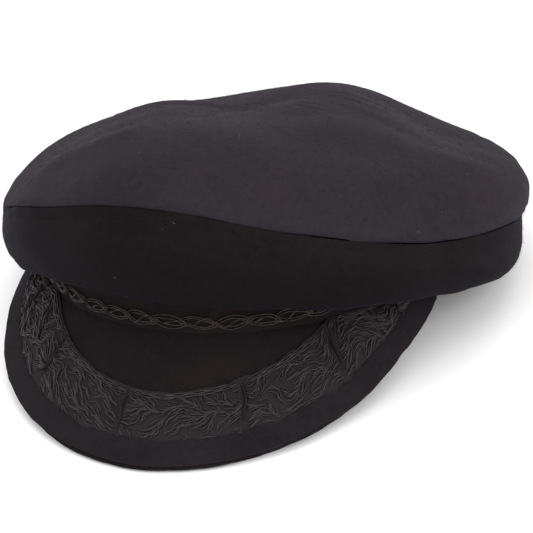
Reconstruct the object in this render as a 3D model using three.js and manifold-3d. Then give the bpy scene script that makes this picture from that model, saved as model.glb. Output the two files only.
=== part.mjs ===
// A Breton fisherman cap in black wool felt, lying on a table as it does when it is taken off.
// Millimetres, +Z up. The peak points to -Y, and the wearer's left is +X.
// The cap is modelled upright, with its band's lower edge at height 0, and the whole group is then
// tipped back until the peak's front edge and the back of the band both lie on the table.
// A direction round the head is a turn: 0 degrees at the front, 90 at the wearer's left, 180 at the back.

import * as THREE from "three";
import { mergeVertices } from "three/addons/utils/BufferGeometryUtils.js";
import Module from "manifold-3d";

// The band round the head.
const BAND_WIDTH = 182;
const BAND_LENGTH = 197;
const BAND_SQUARENESS = 1.9;
const BAND_HEIGHT = 40;
const BAND_WALL = 2.2;
const BAND_REST_SHARE = 0.8;

// The crown: a top panel and a side panel, which hangs over the band as a soft pouch.
const FELT_WALL = 2;
const CROWN_HEIGHT = 90;
const CROWN_OVERHANG = 30;
const UNDERSIDE_REACH = 9;

// The peak, its folded cloth binding and its embroidered trim.
const PEAK_DEPTH = 62.5;
const PEAK_HALF_ANGLE = 77;
const PEAK_SLOPE_ANGLE = 42;
const PEAK_CORNER_SLOPE_ANGLE = 45;
const PEAK_BOARD = 2.4;
const BINDING_WIDTH = 10;
const BINDING_WALL = 1;
const BINDING_ROUNDING = 0.5;
const TRIM_WIDTH = 25;
const TRIM_HALF_ANGLE = 68;
const TRIM_THICKNESS = 1.8;
const TRIM_JOINT_ANGLE = 22;
const TRIM_FIRST_ANGLE = -49;
const TRIM_JOINT_WIDTH = 3.5;
const TRIM_JOINT_SINK = 1.1;

// The looped braid over the peak, and the button at each of its ends.
const BRAID_HALF_ANGLE = 70;
const BRAID_UP = 3.2;
const BRAID_END_RISE = 8;
const BRAID_LINK_LENGTH = 14.5;
const BRAID_LINK_WIDTH = 5.6;
const BRAID_LINK_OVERLAP = 3;
const BRAID_CORD = 1.7;
const BUTTON_DIAMETER = 11;
const BUTTON_DOME = 3;
const BUTTON_SHANK = 1.4;

// Clearances between separate pieces.
const SEWN_GAP = 0.3;
const LOOSE_GAP = 0.5;

// How finely the curved pieces are faceted.
const TURN_STEPS = 48;
const TOP_ROW_SHARES = [0, 0.12, 0.24, 0.36, 0.5, 0.62, 0.72, 0.8, 0.87, 0.93, 0.97, 1];
const SIDE_STEPS = 12;
const PEAK_STEPS = 36;
const TRIM_STEPS = 50;
const LINK_STEPS = 12;
const CORD_SIDES = 5;
const BUTTON_SIDES = 12;

// One row for each 30 degrees of turn. Out is a share of CROWN_OVERHANG beyond the band's outside,
// and up is a share of CROWN_HEIGHT above the band's lower edge.
// The side panel runs from the seam down over its bulge to the fold where it turns under.
const SIDE_SECTIONS = {
  columns: ["turn", "seamOut", "seamUp", "bulgeOut", "bulgeUp", "foldOut", "foldUp"],
  rows: [
    [0, 0.845, 0.765, 0.92, 0.555, 0.64, 0.29],
    [30, 0.715, 0.595, 0.97, 0.445, 0.675, 0.225],
    [60, 0.875, 0.42, 1.03, 0.3, 0.7, 0.12],
    [90, 1.1, 0.3, 1.1, 0.07, 0.765, 0.045],
    [120, 1.2, 0.165, 1.15, 0.075, 0.775, 0.075],
    [150, 1.065, 0.29, 1.015, 0.18, 0.745, 0.15],
    [180, 0.985, 0.385, 1.05, 0.29, 0.74, 0.205],
    [210, 0.89, 0.355, 0.995, 0.255, 0.735, 0.135],
    [240, 0.745, 0.335, 0.85, 0.175, 0.675, 0.055],
    [270, 0.545, 0.365, 0.655, 0.165, 0.525, 0.02],
    [300, 0.53, 0.43, 0.575, 0.27, 0.45, 0.155],
    [330, 0.765, 0.635, 0.73, 0.44, 0.46, 0.285],
  ],
};

// The top panel climbs from the seam over a brow and a shoulder to its sagging middle, all in shares
// of CROWN_HEIGHT. Its sagOut is the share of CROWN_OVERHANG by which it hangs out over the seam.
const TOP_SECTIONS = {
  columns: ["turn", "sagOut", "browUp", "shoulderUp", "middleUp"],
  rows: [
    [0, 0, 0.87, 0.985, 0.92],
    [30, 0, 0.775, 0.92, 0.91],
    [60, 0, 0.62, 0.795, 0.92],
    [90, 0.39, 0.495, 0.69, 0.895],
    [120, 0.315, 0.4, 0.565, 0.865],
    [150, 0.25, 0.39, 0.635, 0.825],
    [180, 0.09, 0.49, 0.6, 0.75],
    [210, 0, 0.435, 0.55, 0.715],
    [240, 0, 0.45, 0.59, 0.75],
    [270, 0, 0.475, 0.625, 0.82],
    [300, 0, 0.52, 0.7, 0.855],
    [330, 0, 0.715, 0.85, 0.91],
  ],
};
const CENTRE_UP_SHARE = 0.815;
const MIDDLE_SHARE = 0.36;
const SHOULDER_SHARE = 0.72;
const BROW_SHARE = 0.93;

// One row for each place along half of the peak, from its front to its corner. Depth is a share of
// PEAK_DEPTH, and trim a share of TRIM_WIDTH.
const PEAK_SECTIONS = {
  columns: ["along", "depth", "trim"],
  rows: [
    [0, 1, 0.88],
    [0.25, 0.885, 0.96],
    [0.5, 0.655, 1.08],
    [0.75, 0.375, 1.12],
    [1, 0.16, 1.16],
  ],
};

const radians = THREE.MathUtils.degToRad;

// A smooth curve through values at rising stations. Its slope at each station is the mean of the
// slopes on both sides, and startSlope sets the first one.
function smoothThrough(stations, values, startSlope) {
  const last = stations.length - 1;
  const chord = (i) => (values[i + 1] - values[i]) / (stations[i + 1] - stations[i]);
  const slopes = values.map((_, i) => {
    if (i === 0) return startSlope ?? chord(0);
    if (i === last) return chord(last - 1);
    return (chord(i - 1) + chord(i)) / 2;
  });
  return (x) => {
    let i = stations.findIndex((s) => s > x) - 1;
    if (i < 0) i = x < stations[0] ? 0 : last - 1;
    const step = stations[i + 1] - stations[i];
    const t = (x - stations[i]) / step;
    const rise = t * t * (3 - 2 * t);
    return (
      values[i] * (1 - rise) +
      values[i + 1] * rise +
      step * (slopes[i] * t * (1 - t) ** 2 - slopes[i + 1] * t * t * (1 - t))
    );
  };
}

// One column of a table as a smooth function of the table's first column, level at its start.
function column(table, name) {
  const at = table.columns.indexOf(name);
  return smoothThrough(
    table.rows.map((row) => row[0]),
    table.rows.map((row) => row[at]),
    0,
  );
}

// The same for a table that runs once round the head, so that its two ends join smoothly.
function columnRound(table, name) {
  const at = table.columns.indexOf(name);
  const lap = (turns) => table.rows.map((row) => [row[0] + 360 * turns, row[at]]);
  const laps = [...lap(-1), ...lap(0), ...lap(1)];
  const curve = smoothThrough(
    laps.map((row) => row[0]),
    laps.map((row) => row[1]),
  );
  return (turn) => curve(THREE.MathUtils.euclideanModulo(turn, 360));
}

// How far the band's outside lies from the head's axis at a turn.
function bandReach(turn) {
  const across = Math.abs(Math.sin(radians(turn)) / (BAND_WIDTH / 2)) ** BAND_SQUARENESS;
  const along = Math.abs(Math.cos(radians(turn)) / (BAND_LENGTH / 2)) ** BAND_SQUARENESS;
  return (across + along) ** (-1 / BAND_SQUARENESS);
}

function pointAt(turn, reach, up) {
  return new THREE.Vector3(reach * Math.sin(radians(turn)), -reach * Math.cos(radians(turn)), up);
}

// The level direction straight out of the band's outside at a turn.
function outward(turn) {
  const step = 0.01;
  const ahead = pointAt(turn + step, bandReach(turn + step), 0);
  const behind = pointAt(turn - step, bandReach(turn - step), 0);
  const along = ahead.sub(behind);
  return new THREE.Vector3(along.y, -along.x, 0).normalize();
}

// A closed solid between two grids of points of the same size. Rows run away from the head's axis
// and columns run with the turn, so that upper is the outside. A round solid has no end columns.
function solidBetween(upper, lower, isRound) {
  const positions = [];
  const triangle = (a, b, c) => {
    if (a.equals(b) || b.equals(c) || c.equals(a)) return;
    for (const p of [a, b, c]) positions.push(p.x, p.y, p.z);
  };
  const quad = (a, b, c, d) => {
    triangle(a, b, c);
    triangle(a, c, d);
  };
  const lastRow = upper.length - 1;
  const count = upper[0].length;
  const spans = isRound ? count : count - 1;
  for (let j = 0; j < spans; j += 1) {
    const k = (j + 1) % count;
    for (let i = 0; i < lastRow; i += 1) {
      quad(upper[i][j], upper[i + 1][j], upper[i + 1][k], upper[i][k]);
      quad(lower[i][k], lower[i + 1][k], lower[i + 1][j], lower[i][j]);
    }
    quad(upper[0][k], lower[0][k], lower[0][j], upper[0][j]);
    quad(upper[lastRow][j], lower[lastRow][j], lower[lastRow][k], upper[lastRow][k]);
  }
  if (!isRound) {
    const end = count - 1;
    for (let i = 0; i < lastRow; i += 1) {
      quad(upper[i][0], lower[i][0], lower[i + 1][0], upper[i + 1][0]);
      quad(upper[i + 1][end], lower[i + 1][end], lower[i][end], upper[i][end]);
    }
  }
  return geometryFrom(positions);
}

function geometryFrom(positions) {
  const geometry = new THREE.BufferGeometry();
  geometry.setAttribute("position", new THREE.Float32BufferAttribute(positions, 3));
  geometry.computeVertexNormals();
  return geometry;
}

// The cloth's other face: each point of a grid moved a distance along the grid's own normal.
function offsetGrid(grid, distance, isRound) {
  const count = grid[0].length;
  const lastRow = grid.length - 1;
  const neighbour = (j) => (isRound ? (j + count) % count : THREE.MathUtils.clamp(j, 0, count - 1));
  return grid.map((row, i) =>
    row.map((point, j) => {
      const rowAfter = grid[Math.min(i + 1, lastRow)][j];
      const rowBefore = grid[Math.max(i - 1, 0)][j];
      const away = rowAfter.clone().sub(rowBefore);
      const round = row[neighbour(j + 1)].clone().sub(row[neighbour(j - 1)]);
      const normal = away.cross(round);
      if (normal.lengthSq() < 1e-9) normal.set(0, 0, 1);
      return point.clone().addScaledVector(normal.normalize(), distance);
    }),
  );
}

const shares = (steps) => Array.from({ length: steps + 1 }, (_, i) => i / steps);
const roundTurns = Array.from({ length: TURN_STEPS }, (_, j) => (360 * j) / TURN_STEPS);

// The crown's outside at one turn, as rows of [reach, up] from its centre over the seam to the band.
const side = Object.fromEntries(
  SIDE_SECTIONS.columns.slice(1).map((name) => [name, columnRound(SIDE_SECTIONS, name)]),
);
const top = Object.fromEntries(
  TOP_SECTIONS.columns.slice(1).map((name) => [name, columnRound(TOP_SECTIONS, name)]),
);

function topProfile(turn) {
  const seamReach = bandReach(turn) + CROWN_OVERHANG * side.seamOut(turn);
  const sag = CROWN_OVERHANG * top.sagOut(turn);
  const height = smoothThrough(
    [0, MIDDLE_SHARE, SHOULDER_SHARE, BROW_SHARE, 1],
    [CENTRE_UP_SHARE, top.middleUp(turn), top.shoulderUp(turn), top.browUp(turn), side.seamUp(turn)],
    0,
  );
  return TOP_ROW_SHARES.map((share) => {
    const beyond = Math.max(0, (share - SHOULDER_SHARE) / (1 - SHOULDER_SHARE));
    const reach = seamReach * share + sag * Math.sin(Math.PI * beyond ** 2);
    return [reach, CROWN_HEIGHT * height(share)];
  });
}

function sideProfile(turn) {
  const band = bandReach(turn);
  const out = (name) => band + CROWN_OVERHANG * side[name](turn);
  const up = (name) => CROWN_HEIGHT * side[name](turn);
  const underReach = Math.min(UNDERSIDE_REACH, (CROWN_OVERHANG * side.foldOut(turn)) / 2);
  const brink = BAND_HEIGHT + SEWN_GAP;
  const stations = [0, 1, 2, 3, 4];
  const reach = smoothThrough(stations, [
    out("seamOut"), out("bulgeOut"), out("foldOut"), band + underReach, band,
  ]);
  const height = smoothThrough(stations, [
    up("seamUp"), up("bulgeUp"), up("foldUp"), (up("foldUp") + brink) / 2, brink,
  ]);
  const rows = shares(SIDE_STEPS).map((share) => [reach(4 * share), height(4 * share)]);
  return [...rows, [band - BAND_WALL, brink]];
}

// Turns profiles at every turn round the head into a grid of points, row by row.
function gridRound(profile) {
  const profiles = roundTurns.map(profile);
  return profiles[0].map((_, i) =>
    profiles.map((rows, j) => pointAt(roundTurns[j], rows[i][0], rows[i][1])),
  );
}

// The crown is one sheet of cloth in shape, and is cut in two along its seam.
const seamRow = TOP_ROW_SHARES.length - 1;
const crownOutside = gridRound((turn) => [...topProfile(turn), ...sideProfile(turn).slice(1)]);
const crownInside = offsetGrid(crownOutside, -FELT_WALL, true);

// Rows from one index up to another, with the row at the seam drawn back by half of the sewn gap.
function cutAtSeam(grid, from, to) {
  const towards = seamRow === from ? seamRow + 1 : seamRow - 1;
  return grid.slice(from, to).map((row, i) =>
    row.map((point, j) => {
      if (from + i !== seamRow) return point.clone();
      const inward = grid[towards][j].clone().sub(point).normalize();
      return point.clone().addScaledVector(inward, 0.6 * SEWN_GAP);
    }),
  );
}

function crownTop() {
  const outside = cutAtSeam(crownOutside, 0, seamRow + 1);
  const inside = cutAtSeam(crownInside, 0, seamRow + 1);
  return solidBetween(outside, inside, true);
}

function crownSide() {
  const outside = cutAtSeam(crownOutside, seamRow, crownOutside.length);
  const inside = cutAtSeam(crownInside, seamRow, crownInside.length);
  const brow = BAND_HEIGHT + SEWN_GAP + FELT_WALL;
  const edge = inside[inside.length - 1];
  outside[outside.length - 1].forEach((point, j) => edge[j].set(point.x, point.y, brow));
  return solidBetween(outside, inside, true);
}

// The peak is a cone: at each turn a straight line runs out from the band and down.
const peakDepthShare = column(PEAK_SECTIONS, "depth");
const trimWidthShare = column(PEAK_SECTIONS, "trim");
const peakFull = PEAK_BOARD + 2 * (BINDING_WALL + SEWN_GAP);
const peakSeat = peakFull / Math.cos(radians(PEAK_SLOPE_ANGLE));

function peakSlope(turn) {
  const along = Math.min(1, Math.abs(turn) / PEAK_HALF_ANGLE);
  return radians(THREE.MathUtils.lerp(PEAK_SLOPE_ANGLE, PEAK_CORNER_SLOPE_ANGLE, Math.min(1, 2 * along)));
}

// The table's rise from front to back, as the tipped cap sees it.
const restBack = (BAND_REST_SHARE * BAND_LENGTH) / 2;
const frontSlope = radians(PEAK_SLOPE_ANGLE);
const frontEdge = -BAND_LENGTH / 2 - SEWN_GAP - PEAK_DEPTH * Math.cos(frontSlope);
const underDepth = PEAK_DEPTH - BINDING_ROUNDING;
const frontDrop =
  underDepth * Math.sin(frontSlope) + peakFull * Math.cos(frontSlope) - peakSeat;
const frontRun =
  BAND_LENGTH / 2 + SEWN_GAP + underDepth * Math.cos(frontSlope) - peakFull * Math.sin(frontSlope);
const tableRise = frontDrop / (restBack + frontRun);

// The peak's depth at a turn. Near the front it is cut off where its line meets the table.
function peakDepth(turn) {
  const shaped = PEAK_DEPTH * peakDepthShare(Math.min(1, Math.abs(turn) / PEAK_HALF_ANGLE));
  const slope = peakSlope(turn);
  const root = pointAt(turn, bandReach(turn), 0);
  const drop = PEAK_DEPTH * Math.sin(frontSlope) - tableRise * (root.y - frontEdge);
  const toTable = drop / (Math.sin(slope) + tableRise * outward(turn).y * Math.cos(slope));
  return Math.min(shaped, toTable);
}

// A point on the peak: how far out from the band along its line, and how far above its upper face.
// Below that face the lines start farther out, so that the peak's inner edge stands along the band.
function peakPoint(turn, distance, above) {
  const slope = peakSlope(turn);
  const out = outward(turn);
  const start = -above * Math.tan(slope);
  const root = pointAt(turn, bandReach(turn), peakSeat).addScaledVector(out, SEWN_GAP);
  const line = out.clone().multiplyScalar(Math.cos(slope));
  line.z = -Math.sin(slope);
  const normal = out.clone().multiplyScalar(Math.sin(slope));
  normal.z = Math.cos(slope);
  return root.addScaledVector(line, Math.max(start, distance)).addScaledVector(normal, above);
}

const peakTurns = (halfSpan, steps) => shares(steps).map((s) => halfSpan * (2 * s - 1));

// A grid over the peak. Each row has a function for its distance out and its height above.
function peakGrid(turns, rows) {
  return rows.map((row) =>
    turns.map((turn) => peakPoint(turn, row.distance(turn), row.above(turn))),
  );
}

// The peak's upper face is the binding's, so the board lies below it by the binding's wall.
const boardTop = -BINDING_WALL - SEWN_GAP;
const boardDepth = (turn) => peakDepth(turn) - BINDING_WALL - SEWN_GAP;

function peakBoard() {
  const turns = peakTurns(PEAK_HALF_ANGLE, PEAK_STEPS);
  const grid = (above) => {
    const start = (turn) => -above * Math.tan(peakSlope(turn));
    const row = (share) => (turn) => THREE.MathUtils.lerp(start(turn), boardDepth(turn), share);
    const rows = shares(3).map((share) => ({ distance: row(share), above: () => above }));
    return peakGrid(turns, rows);
  };
  return solidBetween(grid(boardTop), grid(boardTop - PEAK_BOARD), false);
}

// The binding is a strip of cloth folded over the board's edge, seen in section as a letter U.
function peakBinding() {
  const turns = peakTurns(PEAK_HALF_ANGLE, PEAK_STEPS);
  const inner = (turn) => Math.max(LOOSE_GAP, peakDepth(turn) - BINDING_WIDTH);
  const row = (distance, above) => ({ distance, above: () => above });
  const outerFace = peakGrid(turns, [
    row(inner, 0),
    row((turn) => peakDepth(turn) - BINDING_ROUNDING, 0),
    row(peakDepth, -BINDING_ROUNDING),
    row(peakDepth, BINDING_ROUNDING - peakFull),
    row((turn) => peakDepth(turn) - BINDING_ROUNDING, -peakFull),
    row(inner, -peakFull),
  ]);
  const hollow = (turn) => peakDepth(turn) - BINDING_WALL;
  const innerFace = peakGrid(turns, [
    row(inner, -BINDING_WALL),
    row((turn) => hollow(turn) - BINDING_ROUNDING / 2, -BINDING_WALL),
    row(hollow, -BINDING_WALL - BINDING_ROUNDING / 4),
    row(hollow, BINDING_WALL + BINDING_ROUNDING / 4 - peakFull),
    row((turn) => hollow(turn) - BINDING_ROUNDING / 2, BINDING_WALL - peakFull),
    row(inner, BINDING_WALL - peakFull),
  ]);
  return solidBetween(outerFace, innerFace, false);
}

// The trim is a padded strip of embroidered leaves, with a sunk joint between two leaves.
function peakTrim() {
  const turns = peakTurns(TRIM_HALF_ANGLE, TRIM_STEPS);
  const outer = (turn) => peakDepth(turn) - BINDING_WIDTH - SEWN_GAP;
  const width = (turn) => TRIM_WIDTH * trimWidthShare(Math.abs(turn) / PEAK_HALF_ANGLE);
  const inner = (turn) => Math.max(LOOSE_GAP, outer(turn) - width(turn));
  const jointSink = (turn) => {
    const nearest = Math.round((turn - TRIM_FIRST_ANGLE) / TRIM_JOINT_ANGLE);
    const off = turn - (TRIM_FIRST_ANGLE + nearest * TRIM_JOINT_ANGLE);
    const length = Math.abs(radians(off)) * (bandReach(turn) + peakDepth(turn) / 2);
    return TRIM_JOINT_SINK * Math.max(0, 1 - length / TRIM_JOINT_WIDTH);
  };
  const trimBase = boardTop + SEWN_GAP;
  const rows = (thickness) =>
    shares(3).map((share) => ({
      distance: (turn) => THREE.MathUtils.lerp(inner(turn), outer(turn), share),
      above: (turn) => trimBase + thickness(turn, share),
    }));
  const padded = (turn, share) => {
    const crown = Math.sqrt(Math.sin(Math.PI * THREE.MathUtils.clamp(share, 0.06, 0.94)));
    return TRIM_THICKNESS * crown - jointSink(turn) * crown;
  };
  return solidBetween(peakGrid(turns, rows(padded)), peakGrid(turns, rows(() => 0)), false);
}

// The band is a plain ring of cloth. Its lower edge is at height 0, and at the back it gives way
// to the table that it lies on.
function band() {
  const tableUp = (point) => Math.max(0, (point.y - restBack) * tableRise);
  const ring = (reachIn, share) =>
    roundTurns.map((turn) => {
      const point = pointAt(turn, bandReach(turn) - reachIn, 0);
      point.z = THREE.MathUtils.lerp(BAND_HEIGHT, tableUp(point), share);
      return point;
    });
  const wall = (reachIn) => shares(3).map((share) => ring(reachIn, share));
  return solidBetween(wall(0), wall(BAND_WALL), true);
}

// A round cord along a closed loop of points, in a frame of its own: along, across and out.
function cordLoop(points, radius) {
  const count = points.length;
  const rings = points.map((point, i) => {
    const ahead = points[(i + 1) % count];
    const behind = points[(i + count - 1) % count];
    const along = ahead.clone().sub(behind).normalize();
    const out = new THREE.Vector3(0, 0, 1);
    const across = along.clone().cross(out).normalize();
    const up = across.clone().cross(along);
    return Array.from({ length: CORD_SIDES }, (_, k) => {
      const angle = (2 * Math.PI * k) / CORD_SIDES;
      return point
        .clone()
        .addScaledVector(across, radius * Math.cos(angle))
        .addScaledVector(up, radius * Math.sin(angle));
    });
  });
  const positions = [];
  rings.forEach((ring, i) => {
    const next = rings[(i + 1) % count];
    ring.forEach((_, k) => {
      const m = (k + 1) % CORD_SIDES;
      for (const p of [ring[k], next[k], next[m], ring[k], next[m], ring[m]]) {
        positions.push(p.x, p.y, p.z);
      }
    });
  });
  return positions;
}

// One link of the braid lies flat on the band and leans, so that its far end rides over the near
// end of the next link.
function braidLink() {
  const cord = BRAID_CORD / 2;
  const halfWidth = BRAID_LINK_WIDTH / 2 - cord;
  const halfLength = BRAID_LINK_LENGTH / 2 - cord;
  const lean = (0.8 * BRAID_CORD) / 2;
  return Array.from({ length: LINK_STEPS }, (_, i) => {
    const angle = (2 * Math.PI * (i + 0.5)) / LINK_STEPS;
    const along = halfLength * Math.cos(angle);
    const across = halfWidth * Math.sin(angle);
    return new THREE.Vector3(along, across, cord + lean + lean * Math.cos(angle));
  });
}

// A point over the braid's line, which rises off the peak towards its ends.
function onBand(turn, across, out) {
  const rise = BRAID_END_RISE * Math.abs(turn / BRAID_HALF_ANGLE) ** 3;
  const up = peakSeat + BRAID_UP + rise + across;
  return pointAt(turn, bandReach(turn), up).addScaledVector(outward(turn), out);
}

// Lengths along the band from its front, at every half degree of turn.
const bandTurns = shares(360).map((share) => 180 * share);
const bandPoints = bandTurns.map((turn) => pointAt(turn, bandReach(turn), 0));
const bandLengths = [0];
for (let i = 1; i < bandPoints.length; i += 1) {
  bandLengths.push(bandLengths[i - 1] + bandPoints[i].distanceTo(bandPoints[i - 1]));
}
const lengthTo = smoothThrough(bandTurns, bandLengths);
const turnAlong = smoothThrough(bandLengths, bandTurns);

const wasm = await Module();
wasm.setup();

function manifoldOf(positions) {
  const merged = mergeVertices(
    new THREE.BufferGeometry().setAttribute(
      "position",
      new THREE.Float32BufferAttribute(positions, 3),
    ),
    1e-4,
  );
  const mesh = new wasm.Mesh({
    numProp: 3,
    vertProperties: merged.attributes.position.array,
    triVerts: new Uint32Array(merged.index.array),
  });
  return new wasm.Manifold(mesh);
}

function geometryOf(manifold) {
  const mesh = manifold.getMesh();
  const geometry = new THREE.BufferGeometry();
  geometry.setAttribute("position", new THREE.Float32BufferAttribute(mesh.vertProperties, 3));
  geometry.setIndex(new THREE.Uint32BufferAttribute(mesh.triVerts, 1));
  return geometry.toNonIndexed();
}

// The braid: whole links from one button to the other, each joined to the next.
function braid() {
  const halfLength = lengthTo(BRAID_HALF_ANGLE);
  const spaces = Math.round((2 * halfLength) / (BRAID_LINK_LENGTH - BRAID_LINK_OVERLAP));
  const link = cordLoop(braidLink(), BRAID_CORD / 2);
  const links = shares(spaces).map((share) => {
    const centre = halfLength * (2 * share - 1);
    const positions = [];
    for (let i = 0; i < link.length; i += 3) {
      const length = centre + link[i];
      const turn = Math.sign(length) * turnAlong(Math.abs(length));
      positions.push(...onBand(turn, link[i + 1], link[i + 2] + SEWN_GAP));
    }
    return manifoldOf(positions);
  });
  return geometryOf(links.reduce((joined, next) => joined.add(next)));
}

// A button turned about its own axis: a shank through the braid's end link, and a domed head.
function button() {
  const shank = BUTTON_SHANK / 2;
  const head = BUTTON_DIAMETER / 2;
  const under = 2 * BRAID_CORD + LOOSE_GAP;
  const profile = [
    [0, 0],
    [shank, 0],
    [shank, under],
    [head * 0.93, under],
    [head, under + 0.2 * BUTTON_DOME],
    [head * 0.86, under + 0.62 * BUTTON_DOME],
    [head * 0.5, under + 0.92 * BUTTON_DOME],
    [0, under + BUTTON_DOME],
  ];
  return new THREE.LatheGeometry(
    profile.map(([reach, up]) => new THREE.Vector2(reach, up)),
    BUTTON_SIDES,
  );
}

function material(color, roughness) {
  return new THREE.MeshStandardMaterial({ color, roughness, metalness: 0 });
}

const felt = material(0x26232a, 0.95);
const trimThread = material(0x37343a, 0.8);
const braidCord = material(0x1d1a18, 0.7);
const buttonCloth = material(0x1c1a1d, 0.7);

function named(name, geometry, look) {
  const mesh = new THREE.Mesh(geometry, look);
  mesh.name = name;
  return mesh;
}

// The cap upright, then tipped back on to the table.
const cap = new THREE.Group();
cap.add(named("crown_top", crownTop(), felt));
cap.add(named("crown_side", crownSide(), felt));
cap.add(named("band", band(), felt));
cap.add(named("peak", peakBoard(), felt));
cap.add(named("peak_binding", peakBinding(), felt));
cap.add(named("peak_trim", peakTrim(), trimThread));
cap.add(named("braid", braid(), braidCord));
for (const [name, turn] of [["button_left", BRAID_HALF_ANGLE], ["button_right", -BRAID_HALF_ANGLE]]) {
  const fastener = named(name, button(), buttonCloth);
  fastener.position.copy(onBand(turn, 0, SEWN_GAP));
  fastener.quaternion.setFromUnitVectors(new THREE.Vector3(0, 1, 0), outward(turn));
  cap.add(fastener);
}
cap.rotation.x = -Math.atan(tableRise);

// The origin is under the middle of the cap, on the table.
const part = new THREE.Group();
part.add(cap);
part.updateMatrixWorld(true);
const box = new THREE.Box3().setFromObject(part, true);
const middle = box.getCenter(new THREE.Vector3());
cap.position.set(-middle.x, -middle.y, -box.min.z);

export default part;
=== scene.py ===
# %% [markdown]
# # A Breton fisherman cap in wool felt
#
# This file dresses a fisherman cap that lies on a table: felt crown, stiff band, embroidered peak and
# a looped braid. The plain solids come packed from the workshop. Every piece made here lies over one
# of them, in metres, with the table at height 0 and the peak pointing to -Y.

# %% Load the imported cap
import math
import random

import bmesh
import bpy
from mathutils import Matrix, Vector, noise
from mathutils.bvhtree import BVHTree
from mathutils.kdtree import KDTree


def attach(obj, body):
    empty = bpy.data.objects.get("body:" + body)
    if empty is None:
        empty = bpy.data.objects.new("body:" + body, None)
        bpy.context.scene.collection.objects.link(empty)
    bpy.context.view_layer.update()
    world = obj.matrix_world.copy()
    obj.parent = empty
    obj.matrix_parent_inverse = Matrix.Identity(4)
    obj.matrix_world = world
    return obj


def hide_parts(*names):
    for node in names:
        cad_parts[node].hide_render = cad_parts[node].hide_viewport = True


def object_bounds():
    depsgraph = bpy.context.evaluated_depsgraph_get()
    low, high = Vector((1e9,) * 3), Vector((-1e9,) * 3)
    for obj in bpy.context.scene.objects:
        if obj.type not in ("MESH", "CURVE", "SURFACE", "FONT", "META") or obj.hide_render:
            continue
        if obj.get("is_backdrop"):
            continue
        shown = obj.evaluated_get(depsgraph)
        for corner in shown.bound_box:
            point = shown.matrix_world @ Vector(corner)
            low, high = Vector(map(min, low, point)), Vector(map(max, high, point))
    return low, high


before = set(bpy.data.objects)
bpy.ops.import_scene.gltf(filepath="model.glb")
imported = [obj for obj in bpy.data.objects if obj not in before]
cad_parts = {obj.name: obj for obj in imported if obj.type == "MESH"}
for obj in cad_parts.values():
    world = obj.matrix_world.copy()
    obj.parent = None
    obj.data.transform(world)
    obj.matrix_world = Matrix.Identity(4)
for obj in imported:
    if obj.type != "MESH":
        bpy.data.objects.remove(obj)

solid_box = [list(corner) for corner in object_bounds()]
print("solids reach from", [round(v, 4) for v in solid_box[0]], "to", [round(v, 4) for v in solid_box[1]])

# %% [markdown]
# ## The camera
#
# The picture was taken with a long lens from a little above the cap, round to its left side. A long
# lens keeps the near and the far side of the cap almost the same size. The camera's three axes are
# written as the columns of a matrix, because that keeps its slight roll, which a "look at" would lose.

# %% Camera
lens_data = bpy.data.cameras.new("camera")
lens_data.lens, lens_data.sensor_width, lens_data.sensor_fit = 170.9, 36.0, "HORIZONTAL"
lens_data.clip_start, lens_data.clip_end = 0.05, 20.0
camera = bpy.data.objects.new("camera", lens_data)
bpy.context.scene.collection.objects.link(camera)
right, up = Vector((0.95175, 0.29408, -0.08771)), Vector((-0.07810, 0.50850, 0.85751))
back = right.cross(up).normalized()
view_axes = Matrix((right, up, back)).transposed().to_4x4()
camera.matrix_world = Matrix.Translation((0.3436, -0.9235, 0.5944)) @ view_axes
bpy.context.scene.camera = camera
print("camera is", round(camera.location.length, 3), "m from the cap")

# %% [markdown]
# ## The floor and the light
#
# Felt swallows light, so its shape shows only by broad, soft light. A large lamp hangs over the cap's
# front right and brightens the crown's top. A low one at its left softens the shadow on the table,
# and a white sky and a pale floor fill the rest. The floor is no part of the cap, and it is marked as
# a backdrop. The Standard view keeps the dark tones as they are mixed.

# %% Floor and light
bm = bmesh.new()
bmesh.ops.create_grid(bm, x_segments=2, y_segments=2, size=3.0)
floor_mesh = bpy.data.meshes.new("floor")
bm.to_mesh(floor_mesh)
bm.free()
floor = bpy.data.objects.new("floor", floor_mesh)
bpy.context.scene.collection.objects.link(floor)
floor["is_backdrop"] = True
paper = bpy.data.materials.new("studio_paper")
paper.use_nodes = True
paper_shader = paper.node_tree.nodes["Principled BSDF"]
paper_shader.inputs["Base Color"].default_value = (0.9, 0.9, 0.9, 1)
paper_shader.inputs["Roughness"].default_value = 0.9
floor_mesh.materials.append(paper)

sky = bpy.data.worlds.new("studio")
sky.use_nodes = True
sky_light = sky.node_tree.nodes["Background"]
sky_light.inputs["Color"].default_value = (1, 1, 1, 1)
sky_light.inputs["Strength"].default_value = 1.25
bpy.context.scene.world = sky
bpy.context.scene.view_settings.view_transform = "Standard"


def soft_lamp(name, place, target, size, power):
    """A square area lamp at place that shines at target."""
    data = bpy.data.lights.new(name, "AREA")
    data.size, data.energy = size, power
    lamp = bpy.data.objects.new(name, data)
    bpy.context.scene.collection.objects.link(lamp)
    lamp.location = place
    lamp.rotation_euler = (Vector(target) - Vector(place)).to_track_quat("-Z", "Y").to_euler()


soft_lamp("top_lamp", (-0.35, -0.25, 1.3), (0, 0, 0.05), size=1.8, power=9)
soft_lamp("side_lamp", (1.05, -0.55, 0.5), (0.1, -0.05, 0.0), size=1.2, power=9)

# %% [markdown]
# ## The maker's sizes
#
# Trim, stitches and braid follow lines on the cap: the band's outline, the seam and the peak's slope.
# The pattern is drawn on the cap standing upright and is then tipped back on to the table, so a few
# of the maker's sizes and one small table are repeated here, in millimetres. A direction round the
# head is a turn in degrees: 0 at the front and 90 at the wearer's left.

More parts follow.
